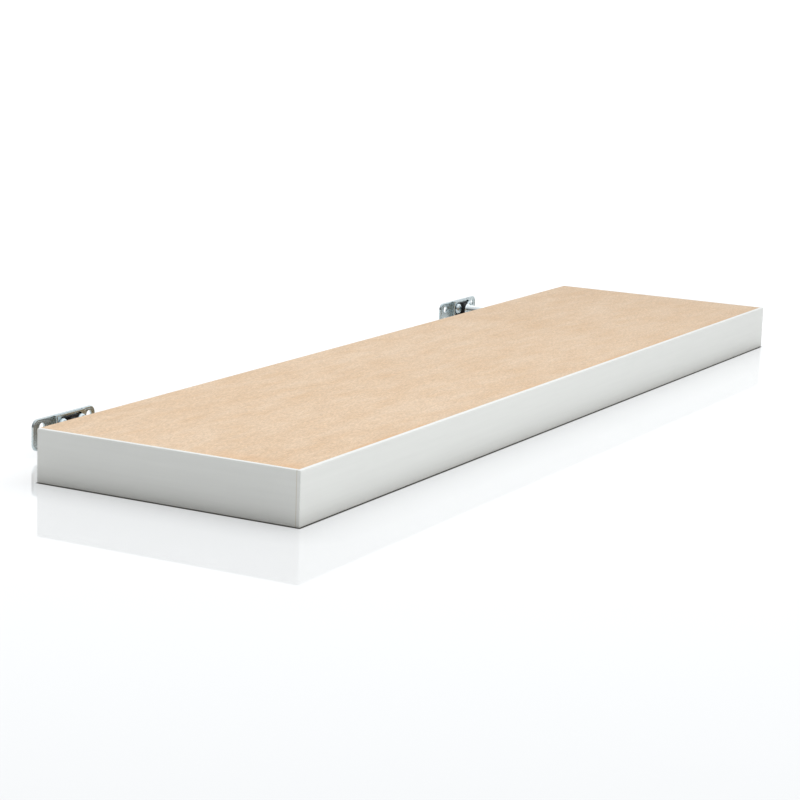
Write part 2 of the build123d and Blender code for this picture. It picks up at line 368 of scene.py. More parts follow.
def noise(tree, vector, scale, detail=3.0, rough=0.5):
    """The value of one Noise texture."""
    inputs = {"Vector": vector, "Scale": scale, "Detail": detail, "Roughness": rough}
    return add_node(tree, "ShaderNodeTexNoise", inputs).outputs["Fac"]


def colour(values):
    """Three numbers as a colour with full alpha."""
    return (values[0], values[1], values[2], 1.0)


def new_group(name, inputs, outputs):
    """An empty shader node group with named sockets; returns the tree, its inputs and its output node."""
    group = bpy.data.node_groups.new(name, "ShaderNodeTree")
    for label, kind, default in inputs:
        socket = group.interface.new_socket(name=label, in_out="INPUT", socket_type=kind)
        if default is not None:
            socket.default_value = default
    for label, kind in outputs:
        group.interface.new_socket(name=label, in_out="OUTPUT", socket_type=kind)
    entry = group.nodes.new("NodeGroupInput").outputs
    leave = group.nodes.new("NodeGroupOutput")
    return group, entry, leave


def place_group(tree, name, inputs):
    """A group placed in a material, with its own values."""
    made = tree.nodes.new("ShaderNodeGroup")
    made.node_tree = bpy.data.node_groups[name]
    for label, value in inputs.items():
        if isinstance(value, bpy.types.NodeSocket):
            tree.links.new(value, made.inputs[label])
        else:
            made.inputs[label].default_value = value
    return made.outputs


def new_material(name):
    """A material with one Principled shader; returns it, its tree, the shader and object coordinates."""
    material = bpy.data.materials.new(name)
    material.use_nodes = True
    tree = material.node_tree
    shader = tree.nodes["Principled BSDF"]
    place = tree.nodes.new("ShaderNodeTexCoord").outputs["Object"]
    return material, tree, shader, place


def bump(tree, shader, height, strength, distance):
    """Feed a height through a Bump node to the shader's normal."""
    inputs = {"Height": height, "Strength": strength, "Distance": distance}
    made = add_node(tree, "ShaderNodeBump", inputs)
    tree.links.new(made.outputs[0], shader.inputs["Normal"])


# ---------------------------------------------------------------- shared effects
VECTOR, FLOAT = "NodeSocketVector", "NodeSocketFloat"
SPECK_FADE = -0.004


def build_cloud_group():
    """Cloudy patches, a fine grain and a few small specks."""
    group, given, out = new_group(
        "cloudy grain",
        [("Vector", VECTOR, None), ("Patch Size", FLOAT, 0.014), ("Grain Size", FLOAT, 0.0006),
         ("Speck Spacing", FLOAT, 0.04), ("Speck Size", FLOAT, 0.0004)],
        [("Patches", FLOAT), ("Grain", FLOAT), ("Specks", FLOAT)],
    )
    patch_scale = sums(group, "DIVIDE", 1.0, given["Patch Size"])
    grain_scale = sums(group, "DIVIDE", 1.0, given["Grain Size"])
    broad = noise(group, given["Vector"], sums(group, "MULTIPLY", patch_scale, 0.3), 2.0)
    fine = noise(group, given["Vector"], patch_scale, 6.0, 0.62)
    mixed = sums(group, "ADD", sums(group, "MULTIPLY", broad, 0.35), sums(group, "MULTIPLY", fine, 0.65))
    patches = remap(group, mixed, 0.34, 0.66)
    grain = noise(group, given["Vector"], grain_scale, 4.0, 0.7)
    spacing = sums(group, "DIVIDE", 1.0, given["Speck Spacing"])
    cells = add_node(group, "ShaderNodeTexVoronoi", {"Vector": given["Vector"], "Scale": spacing})
    reach = sums(group, "DIVIDE", given["Speck Size"], given["Speck Spacing"])
    away = sums(group, "SUBTRACT", cells.outputs["Distance"], reach)
    specks = remap(group, away, 0.0, SPECK_FADE)
    for label, value in (("Patches", patches), ("Grain", grain), ("Specks", specks)):
        group.links.new(value, out.inputs[label])


def build_streak_group():
    """Drawn or rolled marks: noise pulled out along one direction, in two widths."""
    group, given, out = new_group(
        "drawn streaks",
        [("Vector", VECTOR, None), ("Stretch", VECTOR, (1.0, 1.0, 1.0)), ("Scale", FLOAT, 400.0)],
        [("Streaks", FLOAT), ("Fine", FLOAT)],
    )
    pulled = add_node(
        group, "ShaderNodeVectorMath", {0: given["Vector"], 1: given["Stretch"]}, operation="MULTIPLY"
    ).outputs[0]
    wide = noise(group, pulled, given["Scale"], 3.0, 0.6)
    fine = noise(group, pulled, sums(group, "MULTIPLY", given["Scale"], 5.0), 2.0, 0.6)
    group.links.new(wide, out.inputs["Streaks"])
    group.links.new(fine, out.inputs["Fine"])


def build_dust_group():
    """Smudges and a thin settled film, thicker where its noise is high."""
    group, given, out = new_group(
        "handling marks",
        [("Vector", VECTOR, None), ("Size", FLOAT, 0.05), ("Cover", FLOAT, 0.5)],
        [("Marks", FLOAT)],
    )
    scale = sums(group, "DIVIDE", 1.0, given["Size"])
    film = noise(group, given["Vector"], scale, 5.0, 0.65)
    edge = sums(group, "SUBTRACT", 1.0, given["Cover"])
    marks = remap(group, film, edge, sums(group, "ADD", edge, 0.25))
    group.links.new(marks, out.inputs["Marks"])


def near_plane(tree, place, axis, position, width):
    """A mask that is 1 at one coordinate plane and fades to 0 at a distance from it."""
    value = add_node(tree, "ShaderNodeSeparateXYZ", {"Vector": place}).outputs[axis]
    away = sums(tree, "ABSOLUTE", sums(tree, "SUBTRACT", value, position))
    return remap(tree, away, width, 0.0)


# ---------------------------------------------------------------- materials
WARM_TRIM = (0.53, 0.30, 0.14)
HARDBOARD_SPECK = (0.12, 0.075, 0.045)
EDGING_MARK = (0.50, 0.51, 0.48)
EDGING_SPECK = (0.25, 0.24, 0.21)
KRAFT_DARK = (0.36, 0.24, 0.13)
KRAFT_LIGHT = (0.46, 0.32, 0.19)
KRAFT_SPECK = (0.14, 0.09, 0.05)
ZINC_SPECK = (0.16, 0.15, 0.14)
RUBBED_PLASTIC = (0.06, 0.06, 0.062)
BLACK_OXIDE = (0.035, 0.035, 0.04)
WORN_OXIDE = (0.10, 0.095, 0.09)
WIDE_TRIM = 22 * MM
NARROW_TRIM = 5 * MM
PALER = 1.22
DARKER = 0.93
LATE_WOOD = (0.74, 0.64, 0.52)


def hardboard_material(board):
    """Raw hardboard: cloudy tan fibres, fine grain, a few dark specks and warmer trimmed edges."""
    material, tree, shader, place = new_material("raw hardboard")
    laid = stretched(tree, place, (0.3, 1.0, 1.0))
    cloud = place_group(
        tree, "cloudy grain",
        {"Vector": laid, "Patch Size": board.patch_size, "Grain Size": 0.0009, "Speck Spacing": 0.03},
    )
    base = blend(tree, cloud["Patches"], colour(board.hardboard_dark), colour(board.hardboard_light))
    base = blend(tree, 0.40, base, colour(board.hardboard))
    grain = remap(tree, cloud["Grain"], 0.30, 0.70, 0.74, 1.26)
    grain_colour = add_node(tree, "ShaderNodeCombineColor", {"Red": grain, "Green": grain, "Blue": grain})
    base = blend(tree, 1.0, base, grain_colour.outputs[0], "MULTIPLY")
    low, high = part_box("top_skin")
    trimmed = near_plane(tree, place, "X", low.x, WIDE_TRIM)
    for axis, position in (("X", high.x), ("Y", low.y)):
        trimmed = sums(tree, "MAXIMUM", trimmed, near_plane(tree, place, axis, position, NARROW_TRIM))
    soaked = noise(tree, place, 14.0, 3.0)
    uneven = remap(tree, soaked, 0.45, 0.65, 0.0, 0.62)
    base = blend(tree, sums(tree, "MULTIPLY", trimmed, uneven), base, colour(WARM_TRIM))
    base = blend(tree, sums(tree, "MULTIPLY", cloud["Specks"], 0.75), base, colour(HARDBOARD_SPECK))
    tree.links.new(base, shader.inputs["Base Color"])
    rough = remap(tree, cloud["Grain"], 0.3, 0.7, 0.62, 0.78)
    tree.links.new(rough, shader.inputs["Roughness"])
    shader.inputs["Specular IOR Level"].default_value = 0.3
    bump(tree, shader, cloud["Grain"], 0.3, 0.00015)
    return material


def edging_material(board):
    """Pale grey plastic strip with faint drawn streaks, small marks and the glue line at its joint."""
    material, tree, shader, place = new_material("edging plastic")
    streaks = place_group(
        tree, "drawn streaks", {"Vector": place, "Stretch": (0.04, 0.04, 1.0), "Scale": 260.0}
    )
    marks = place_group(tree, "handling marks", {"Vector": place, "Size": 0.09, "Cover": 0.42})["Marks"]
    cloud = place_group(
        tree, "cloudy grain",
        {"Vector": place, "Patch Size": 0.03, "Grain Size": 0.0012,
         "Speck Spacing": 0.07, "Speck Size": 0.00035},
    )
    pale = board.edging
    darker = tuple(value * DARKER for value in pale)
    base = blend(tree, remap(tree, streaks["Streaks"], 0.3, 0.7), colour(darker), colour(pale))
    base = blend(tree, 0.55, base, colour(pale))
    base = blend(tree, sums(tree, "MULTIPLY", marks, 0.10), base, colour(EDGING_MARK))
    base = blend(tree, sums(tree, "MULTIPLY", cloud["Specks"], 0.35), base, colour(EDGING_SPECK))
    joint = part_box("left_edging")[0].y
    glue = near_plane(tree, place, "Y", joint, board.glue_width)
    base = blend(tree, sums(tree, "MULTIPLY", glue, 0.8), base, colour(board.glue))
    tree.links.new(base, shader.inputs["Base Color"])
    rough = remap(tree, streaks["Fine"], 0.3, 0.7, 0.30, 0.40)
    tree.links.new(sums(tree, "ADD", rough, sums(tree, "MULTIPLY", marks, 0.08)), shader.inputs["Roughness"])
    bump(tree, shader, streaks["Fine"], 0.08, 0.00005)
    return material


def wood_material(name, base_colour, along_axis):
    """Sawn softwood: growth rings pulled out along the rail, darker late wood and saw marks."""
    material, tree, shader, place = new_material(name)
    stretch = [1.0, 1.0, 1.0]
    stretch[along_axis] = 0.06
    pulled = stretched(tree, place, stretch)
    bend = noise(tree, pulled, 18.0, 2.0)
    shifted = add_node(tree, "ShaderNodeVectorMath", {0: pulled, 1: (0.012, 0.012, 0.012)}, operation="ADD")
    warp = add_node(
        tree, "ShaderNodeVectorMath", {0: shifted.outputs[0], "Scale": sums(tree, "ADD", bend, 0.6)},
        operation="SCALE",
    ).outputs[0]
    rings = add_node(
        tree, "ShaderNodeTexWave",
        {"Vector": warp, "Scale": 42.0, "Distortion": 4.0, "Detail": 3.0, "Detail Scale": 1.6},
        wave_type="RINGS", rings_direction="XYZ"[along_axis],
    ).outputs["Fac"]
    fibres = place_group(tree, "drawn streaks", {"Vector": place, "Stretch": stretch, "Scale": 900.0})
    dark = tuple(value * shade for value, shade in zip(base_colour, LATE_WOOD))
    base = blend(tree, remap(tree, rings, 0.25, 0.95, 0.0, 0.75), colour(base_colour), colour(dark))
    base = blend(tree, remap(tree, fibres["Streaks"], 0.45, 0.75, 0.0, 0.35), base, colour(dark))
    tree.links.new(base, shader.inputs["Base Color"])
    tree.links.new(remap(tree, fibres["Fine"], 0.3, 0.7, 0.55, 0.75), shader.inputs["Roughness"])
    bump(tree, shader, fibres["Streaks"], 0.3, 0.0002)
    return material


def paper_material():
    """Brown kraft paper of the comb."""
    material, tree, shader, place = new_material("kraft paper")
    cloud = place_group(tree, "cloudy grain", {"Vector": place, "Patch Size": 0.008, "Grain Size": 0.0008})
    base = blend(tree, cloud["Patches"], colour(KRAFT_DARK), colour(KRAFT_LIGHT))
    base = blend(tree, sums(tree, "MULTIPLY", cloud["Specks"], 0.4), base, colour(KRAFT_SPECK))
    tree.links.new(base, shader.inputs["Base Color"])
    tree.links.new(remap(tree, cloud["Grain"], 0.3, 0.7, 0.7, 0.9), shader.inputs["Roughness"])
    return material


def zinc_material(name, shade, bracket, stretch, streak_scale, rough_low, rough_high, warmth_and_reflection):
    """Zinc-plated steel: a bluish metal with a patchy warm cast, drawn marks and handling marks. The warm
    cast is partly the plating's own tint and partly a painted reflection of the brown board.
    """
    material, tree, shader, place = new_material(name)
    streaks = place_group(tree, "drawn streaks", {"Vector": place, "Stretch": stretch, "Scale": streak_scale})
    cast = place_group(tree, "handling marks", {"Vector": place, "Size": 0.05, "Cover": 0.56})["Marks"]
    spots = place_group(
        tree, "cloudy grain",
        {"Vector": place, "Patch Size": 0.012, "Grain Size": 0.0004,
         "Speck Spacing": 0.012, "Speck Size": 0.00015},
    )
    # Warm cast: partly the plating's own tint, partly a painted reflection of the brown board.
    base = blend(tree, sums(tree, "MULTIPLY", cast, warmth_and_reflection), colour(shade), colour(bracket.zinc_warm_tint_and_reflection))
    pale = tuple(min(1.0, value * PALER) for value in shade)
    base = blend(tree, remap(tree, spots["Patches"], 0.45, 1.0, 0.0, 0.22), base, colour(pale))
    base = blend(tree, sums(tree, "MULTIPLY", spots["Specks"], 0.4), base, colour(ZINC_SPECK))
    tree.links.new(base, shader.inputs["Base Color"])
    shader.inputs["Metallic"].default_value = 1.0
    wear = sums(tree, "MULTIPLY", cast, 0.08)
    rough = sums(tree, "ADD", remap(tree, streaks["Streaks"], 0.3, 0.7, rough_low, rough_high), wear)
    tree.links.new(rough, shader.inputs["Roughness"])
    bump(tree, shader, streaks["Fine"], 0.05, 0.00002)
    return material


def black_plastic_material(bracket):
    """Moulded black plastic with a fine spark texture and a few rubbed places."""
    material, tree, shader, place = new_material("black plastic")
    cloud = place_group(tree, "cloudy grain", {"Vector": place, "Patch Size": 0.003, "Grain Size": 0.00025})
    rubbed = place_group(tree, "handling marks", {"Vector": place, "Size": 0.008, "Cover": 0.38})["Marks"]
    rubbing = sums(tree, "MULTIPLY", rubbed, 0.25)
    base = blend(tree, rubbing, colour(bracket.plastic), colour(RUBBED_PLASTIC))
    tree.links.new(base, shader.inputs["Base Color"])
    rough = sums(tree, "SUBTRACT", remap(tree, cloud["Grain"], 0.3, 0.7, 0.42, 0.56),
                 sums(tree, "MULTIPLY", rubbed, 0.12))
    tree.links.new(rough, shader.inputs["Roughness"])
    shader.inputs["Specular IOR Level"].default_value = 0.25
    bump(tree, shader, cloud["Grain"], 0.3, 0.00004)
    return material


def black_oxide_material():
    """Oiled black oxide on the adjusting screws."""
    material, tree, shader, place = new_material("black oxide")
    marks = place_group(tree, "handling marks", {"Vector": place, "Size": 0.003, "Cover": 0.45})["Marks"]
    base = blend(tree, marks, colour(BLACK_OXIDE), colour(WORN_OXIDE))
    tree.links.new(base, shader.inputs["Base Color"])
    shader.inputs["Metallic"].default_value = 1.0
    tree.links.new(remap(tree, marks, 0.0, 1.0, 0.32, 0.5), shader.inputs["Roughness"])
    return material


# ---------------------------------------------------------------- pieces
FACES_FRONT = -0.999
CORNER_STEPS = 12
EDGE_STEPS = 5
HOLE_SIDES = 48


def model_wall_plate(side, bracket):
    """A stamped plate: rounded corners and front edge and a dished middle. Its screw holes and tab slots are
    cut afterwards, by the wall plates step.
    """
    low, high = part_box(side + "_wall_plate")
    plate = add_block(side + "_stamped_plate", low, high)
    edit(plate, "EDGE")
    choose_edges(plate, along(1))
    bpy.ops.mesh.bevel(offset=bracket.plate_corner, segments=CORNER_STEPS, affect="EDGES")
    bpy.ops.mesh.select_all(action="DESELECT")
    choose_edges(plate, in_plane(1, low.y))
    bpy.ops.mesh.bevel(offset=bracket.plate_edge, segments=EDGE_STEPS, affect="EDGES")
    bpy.ops.mesh.select_mode(type="FACE")
    choose_faces(plate, lambda centre, normal: normal.y < FACES_FRONT)
    bpy.ops.mesh.inset(thickness=bracket.plate_rim - bracket.plate_edge, depth=0)
    bpy.ops.mesh.inset(thickness=bracket.dish_slope, depth=-bracket.dish_depth)
    deselect()
    return plate, low, high


class SHELF_OT_wall_plates(bpy.types.Operator):
    """Models the stamped wall plate of each bracket"""

    bl_idname = "shelf.wall_plates"
    bl_label = "Wall plates"

    def execute(self, context):
        bracket = context.scene.shelf_bracket
        zinc = zinc_material("zinc plate", bracket.zinc, bracket, (0.12, 1.0, 1.0), 700.0, 0.20, 0.26, 0.22)
        for side in SIDES:
            plate, low, high = model_wall_plate(side, bracket)
            cutters = screw_hole_cutters(side, low.y, high.y) + tab_cutters(side, low.y, high.y)
            cut_away(plate, cutters)
            finish_mesh(plate, bracket.soft_edge)
            dress(plate, zinc)
            mount_piece(plate, side + "_wall_plate", side + "_wall_bracket")
        return {"FINISHED"}


def screw_hole_cutters(side, front, back):
    """A round cutter for each wall screw hole, where the record's hole pattern says."""
    pattern = MOUNTS[side + "_wall_holes"]
    centre, sizes = Vector(pattern["pos_m"]), pattern["dims"]
    cutters = []
    for along_x in (-0.5, 0.5):
        for along_z in (-0.5, 0.5):
            spot = centre + Vector((along_x * sizes["spacing_x_mm"], 0, along_z * sizes["spacing_y_mm"])) * MM
            start = Vector((spot.x, front - MM, spot.z))
            end = Vector((spot.x, back + MM, spot.z))
            cutters.append(add_bar("cutter", sizes["hole_r_mm"] * MM, start, end, HOLE_SIDES))
    return cutters


TAB_SIZE = Vector((1.3, 0, 4.1)) * MM
TAB_SPACING = 11.2 * MM
HOUSING_SHEET = 1.2 * MM


def tab_cutters(side, front, back):
    """A box cutter for each slot that a tab of the housing passes through."""
    low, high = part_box(side + "_housing")
    plate_low, plate_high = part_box(side + "_wall_plate")
    middle = (plate_low.z + plate_high.z) / 2
    cutters = []
    for centre_x in (low.x + HOUSING_SHEET / 2, high.x - HOUSING_SHEET / 2):
        for step in (-0.5, 0.5):
            centre = Vector((centre_x, 0, middle + step * TAB_SPACING))
            corner_low = Vector((centre.x - TAB_SIZE.x / 2, front - MM, centre.z - TAB_SIZE.z / 2))
            corner_high = Vector((centre.x + TAB_SIZE.x / 2, back + MM, centre.z + TAB_SIZE.z / 2))
            cutters.append(add_block("cutter", corner_low, corner_high))
    return cutters


class SHELF_OT_housings(bpy.types.Operator):
    """Breaks the edges of each pressed housing and of the slider plate behind it"""

    bl_idname = "shelf.housings"
    bl_label = "Housings and sliders"

    def execute(self, context):
        bracket = context.scene.shelf_bracket
        zinc = zinc_material("zinc housing", bracket.zinc, bracket, (1.0, 1.0, 0.12), 700.0, 0.19, 0.25, 0.12)
        for side in SIDES:
            shell = softened_copy(side + "_housing", side + "_pressed_housing", bracket.soft_edge)
            dress(shell, zinc)
            mount_piece(shell, side + "_housing", side + "_wall_bracket")
            slider = softened_copy(side + "_slider_plate", side + "_sliding_plate", bracket.soft_edge)
            dress(slider, zinc)
            mount_piece(slider, side + "_slider_plate", side + "_carrier")
        return {"FINISHED"}


class SHELF_OT_carriers(bpy.types.Operator):
    """Finishes the moulded rod carriers"""

    bl_idname = "shelf.carriers"
    bl_label = "Rod carriers"

    def execute(self, context):
        bracket = context.scene.shelf_bracket
        plastic = black_plastic_material(bracket)
        for side in SIDES:
            block = softened_copy(side + "_rod_carrier", side + "_moulded_carrier", 2 * bracket.soft_edge)
            dress(block, plastic)
            mount_piece(block, side + "_rod_carrier", side + "_carrier")
        return {"FINISHED"}


class SHELF_OT_rods(bpy.types.Operator):
    """Finishes the support rods and their cross pins"""

    bl_idname = "shelf.rods"
    bl_label = "Support rods"

    def execute(self, context):
        bracket = context.scene.shelf_bracket
        # The rods' paler zinc is a painted highlight for their glare.
        drawn = zinc_material(
            "drawn zinc rod", bracket.zinc_rod, bracket, (1.0, 0.04, 1.0), 500.0, 0.16, 0.26, 0.1
        )
        for side in SIDES:
            rod = softened_copy(side + "_support_rod", side + "_drawn_rod", bracket.soft_edge)
            dress(rod, drawn)
            mount_piece(rod, side + "_support_rod", side + "_rod")
            dress(frame["nodes"][side + "_tilt_pin"], drawn)
        return {"FINISHED"}


KEY_SIDES = 6
CLAMP_KEY = 4.0 * MM
CLAMP_KEY_DEPTH = 1.6 * MM
CLAMP_HEAD_HEIGHT = 2.8 * MM
CLAMP_SHANK = 3.0 * MM
CLAMP_PITCH = 1.0 * MM
CLAMP_OVERLAP = 0.05 * MM
DOME_STEPS = 14
HEAD_BASE = 0.1
HEAD_RIM = 0.16
HEAD_FLAT = 0.52
ROUND_SIDES = 64


def dome_radius(height, radius, total):
    """Radius of a button head at a height above its seat: a short upright rim, then a dome."""
    rim = HEAD_RIM * total
    if height <= rim:
        return radius
    rise = (height - rim) / (total - rim)
    flat_top = HEAD_FLAT * radius
    return flat_top + (radius - flat_top) * math.sqrt(max(0.0, 1 - rise * rise))


def model_button_head(name, centre_x, centre_z, seat, radius):
    """A domed head grown ring by ring from its seat towards the front, with a hexagon key socket."""
    base = HEAD_BASE * CLAMP_HEAD_HEIGHT
    head = add_bar(
        name, radius, (centre_x, seat, centre_z), (centre_x, seat - base, centre_z), ROUND_SIDES
    )
    centre = Vector((centre_x, seat, centre_z))
    edit(head, "FACE")
    choose_faces(head, lambda place, normal: normal.y < FACES_FRONT)
    width = radius
    for step in range(1, DOME_STEPS + 1):
        low = base + (CLAMP_HEAD_HEIGHT - base) * (step - 1) / DOME_STEPS
        high = base + (CLAMP_HEAD_HEIGHT - base) * step / DOME_STEPS
        next_width = dome_radius(high, radius, CLAMP_HEAD_HEIGHT)
        bpy.ops.mesh.extrude_region_move(TRANSFORM_OT_translate={"value": (0, low - high, 0)})
        shrink = next_width / width
        bpy.ops.transform.resize(value=(shrink, 1, shrink), center_override=centre)
        width = next_width
    deselect()
    front = seat - CLAMP_HEAD_HEIGHT
    key_corner = CLAMP_KEY / 2 / math.cos(math.pi / KEY_SIDES)
    socket = add_bar(
        "cutter", key_corner, (centre_x, front - MM, centre_z),
        (centre_x, front + CLAMP_KEY_DEPTH, centre_z), KEY_SIDES,
    )
    return cut_away(head, [socket])


THREAD_DEPTH = 0.54
THREAD_RISE, THREAD_CREST, THREAD_FALL = 0.40, 0.52, 0.92
THREAD_STEPS = 32
SPARE_TURNS = 2


def model_thread(name, radius, pitch, start, end):
    """A threaded shank: one tooth profile wound up by a Screw modifier and trimmed to length."""
    deselect()
    root = radius - THREAD_DEPTH * pitch
    run = Vector(end) - Vector(start)
    turns = math.ceil(run.length / pitch) + SPARE_TURNS
    bpy.ops.mesh.primitive_plane_add(size=1)
    thread = take_primitive(name)
    edit(thread, "VERT")
    bpy.ops.mesh.select_all(action="SELECT")
    bpy.ops.mesh.merge(type="CENTER")
    profile = (
        (root, 0.0), (radius, THREAD_RISE * pitch), (radius, THREAD_CREST * pitch),
        (root, THREAD_FALL * pitch), (root, pitch),
    )
    bpy.ops.transform.translate(value=(profile[0][0], 0, profile[0][1]))
    for before, after in zip(profile, profile[1:]):
        step = (after[0] - before[0], 0, after[1] - before[1])
        bpy.ops.mesh.extrude_vertices_move(TRANSFORM_OT_translate={"value": step})
    pick(thread)
    wind = thread.modifiers.new("wind", "SCREW")
    wind.axis = "Z"
    wind.screw_offset = pitch
    wind.iterations = turns
    wind.steps = THREAD_STEPS
    wind.render_steps = THREAD_STEPS
    wind.use_merge_vertices = True
    wind.merge_threshold = 1e-6
    bpy.ops.object.modifier_apply(modifier=wind.name)
    return trim_thread(thread, pitch, start, end)


def trim_thread(thread, pitch, start, end):
    """Cut a wound thread square at both ends, close it, and stand it on its axis."""
    run = Vector(end) - Vector(start)
    first, last = 1.5 * pitch, 1.5 * pitch + run.length
    for height, above in ((first, False), (last, True)):
        edit(thread, "VERT")
        bpy.ops.mesh.select_all(action="SELECT")
        bpy.ops.mesh.bisect(
            plane_co=(0, 0, height), plane_no=(0, 0, 1), use_fill=True,
            clear_inner=not above, clear_outer=above,
        )
    bpy.ops.mesh.select_all(action="SELECT")
    bpy.ops.mesh.remove_doubles(threshold=1e-7)
    bpy.ops.mesh.normals_make_consistent(inside=False)
    deselect()
    turn = run.to_track_quat("Z", "Y").to_matrix().to_4x4()
    thread.data.transform(Matrix.Translation(start) @ turn @ Matrix.Translation((0, 0, -first)))
    return thread


def join_pieces(main, others):
    """Join other meshes into a piece."""
    pick(main)
    for other in others:
        other.select_set(True)
    bpy.ops.object.join()
    return main


class SHELF_OT_clamp_screws(bpy.types.Operator):
    """Models the button-head clamp screws, one first and the others copied from it"""

    bl_idname = "shelf.clamp_screws"
    bl_label = "Clamp screws"

    def execute(self, context):
        bracket = context.scene.shelf_bracket
        bright = zinc_material(
            "bright zinc screw", bracket.zinc_screw, bracket, (1.0, 1.0, 1.0), 900.0, 0.16, 0.26, 0.15
        )
        low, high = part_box("left_clamp_screw_a")
        radius = (high.x - low.x) / 2
        centre = (low + high) / 2
        seat = low.y + CLAMP_HEAD_HEIGHT
        pattern = model_button_head("clamp_pattern", centre.x, centre.z, seat, radius)
        shank = model_thread(
            "shank", CLAMP_SHANK, CLAMP_PITCH,
            (centre.x, seat - CLAMP_OVERLAP, centre.z), (centre.x, high.y, centre.z),
        )
        finish_mesh(pattern, 0.5 * bracket.soft_edge)
        join_pieces(pattern, [shank])
        finish_mesh(pattern, 0)
        for side in SIDES:
            for end in SCREW_ENDS:
                node = side + "_clamp_screw_" + end
                screw = copy_to(pattern, node.replace("clamp_screw", "button_screw"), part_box(node)[0] - low)
                dress(screw, bright)
                mount_piece(screw, node, node)
        bpy.data.objects.remove(pattern)
        return {"FINISHED"}


def copy_to(pattern, name, shift):
    """A copy of a piece with its own mesh, moved by a shift within that mesh."""
    mesh = pattern.data.copy()
    mesh.name = name
    mesh.transform(Matrix.Translation(shift))
    piece = bpy.data.objects.new(name, mesh)
    bpy.context.scene.collection.objects.link(piece)
    return piece


GRUBS = {"height_screw": (0.7 * MM, 2.0 * MM), "tilt_screw": (0.5 * MM, 1.5 * MM)}
GRUB_KEY_DEPTH = 1.5 * MM


def model_grub_screw(kind, low, high):
    """A threaded grub screw with a key socket in its lower end."""
    pitch, key = GRUBS[kind]
    radius = (high.x - low.x) / 2
    centre = (low + high) / 2
    bottom = Vector((centre.x, centre.y, low.z))
    top = Vector((centre.x, centre.y, high.z))
    screw = model_thread(kind, radius, pitch, bottom, top)
    key_corner = key / 2 / math.cos(math.pi / KEY_SIDES)
    socket = add_bar(
        "cutter", key_corner, bottom - Vector((0, 0, MM)),
        bottom + Vector((0, 0, GRUB_KEY_DEPTH)), KEY_SIDES,
    )
    return finish_mesh(cut_away(screw, [socket]), 0)


class SHELF_OT_adjusting_screws(bpy.types.Operator):
    """Models the threaded grub screws that set the height and the tilt"""

    bl_idname = "shelf.adjusting_screws"
    bl_label = "Adjusting screws"

    def execute(self, context):
        black = black_oxide_material()
        for kind in GRUBS:
            low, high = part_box("left_" + kind)
            pattern = model_grub_screw(kind, low, high)
            for side in SIDES:
                node = side + "_" + kind
                screw = copy_to(pattern, node.replace("screw", "grub"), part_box(node)[0] - low)
                dress(screw, black)
                mount_piece(screw, node, node)
            bpy.data.objects.remove(pattern)
        return {"FINISHED"}


class SHELF_OT_board(bpy.types.Operator):
    """Finishes the skins, the frame inside them and the paper comb"""

    bl_idname = "shelf.board"
    bl_label = "Board"

    def execute(self, context):
        board = context.scene.shelf_board
        hardboard = hardboard_material(board)
        long_grain = wood_material("softwood, long grain", board.frame_wood, 0)
        cross_grain = wood_material("softwood, cross grain", board.frame_wood, 1)
        for node in ("top_skin", "bottom_skin"):
            dress(frame["nodes"][node], hardboard)
        for node in ("front_rail", "back_rail"):
            dress(frame["nodes"][node], long_grain)
        for side in SIDES:
            for part in ("_end_rail", "_bracket_block"):
                dress(frame["nodes"][side + part], cross_grain)
        dress(frame["nodes"]["honeycomb_core"], paper_material())
        return {"FINISHED"}


class SHELF_OT_edging(bpy.types.Operator):
    """Finishes the three edging strips"""

    bl_idname = "shelf.edging"
    bl_label = "Edging"

    def execute(self, context):
        plastic = edging_material(context.scene.shelf_board)
        for node in ("front_edging", "left_edging", "right_edging"):
            dress(frame["nodes"][node], plastic)
        return {"FINISHED"}


# ---------------------------------------------------------------- stage
HAZE, CLEAR = (0.27, 0.275, 0.28), (0.25, 0.257, 0.265)
# Painted contact shadow: the dark colour the table takes under the board's outline.
PAINTED_CONTACT_SHADOW = (0.03, 0.027, 0.02)
GLOW_WHITE = (0.98, 0.99, 1.0)
# Painted shade: the white the table gives back to the board is darker and warmer close to it.
PAINTED_BOUNCE_SHADE, BOUNCE_WHITE = (0.16, 0.14, 0.11), (0.90, 0.90, 0.885)
CONTACT_INNER, CONTACT_OUTER = 0.6 * MM, 1.6 * MM
BOUNCE_REACH = 22 * MM
FLOOR_DROP = 0.1 * MM
SOFTBOX_PLACE, SOFTBOX_TARGET = (-0.32, -0.1, 1.2), (-0.32, 0.0, 0.0)
SOFTBOX_SIZE = 1.3


def beside_board(tree, place):
    """How far a point of the table lies from the board's outline."""
    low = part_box("front_edging")[0]
    high = Vector((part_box("right_edging")[1].x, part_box("back_rail")[1].y, 0))
    centre, half = (low + high) / 2, (high - low) / 2
    offset = add_node(
        tree, "ShaderNodeVectorMath", {0: place, 1: (centre.x, centre.y, 0.0)}, operation="SUBTRACT"
    ).outputs[0]
    span = add_node(tree, "ShaderNodeVectorMath", {0: offset}, operation="ABSOLUTE").outputs[0]
    beyond = add_node(tree, "ShaderNodeVectorMath", {0: span, 1: (half.x, half.y, 1.0)}, operation="SUBTRACT")
    outside = add_node(
        tree, "ShaderNodeVectorMath", {0: beyond.outputs[0], 1: (0.0, 0.0, 0.0)}, operation="MAXIMUM"
    ).outputs[0]
    return add_node(tree, "ShaderNodeVectorMath", {0: outside}, operation="LENGTH").outputs["Value"]


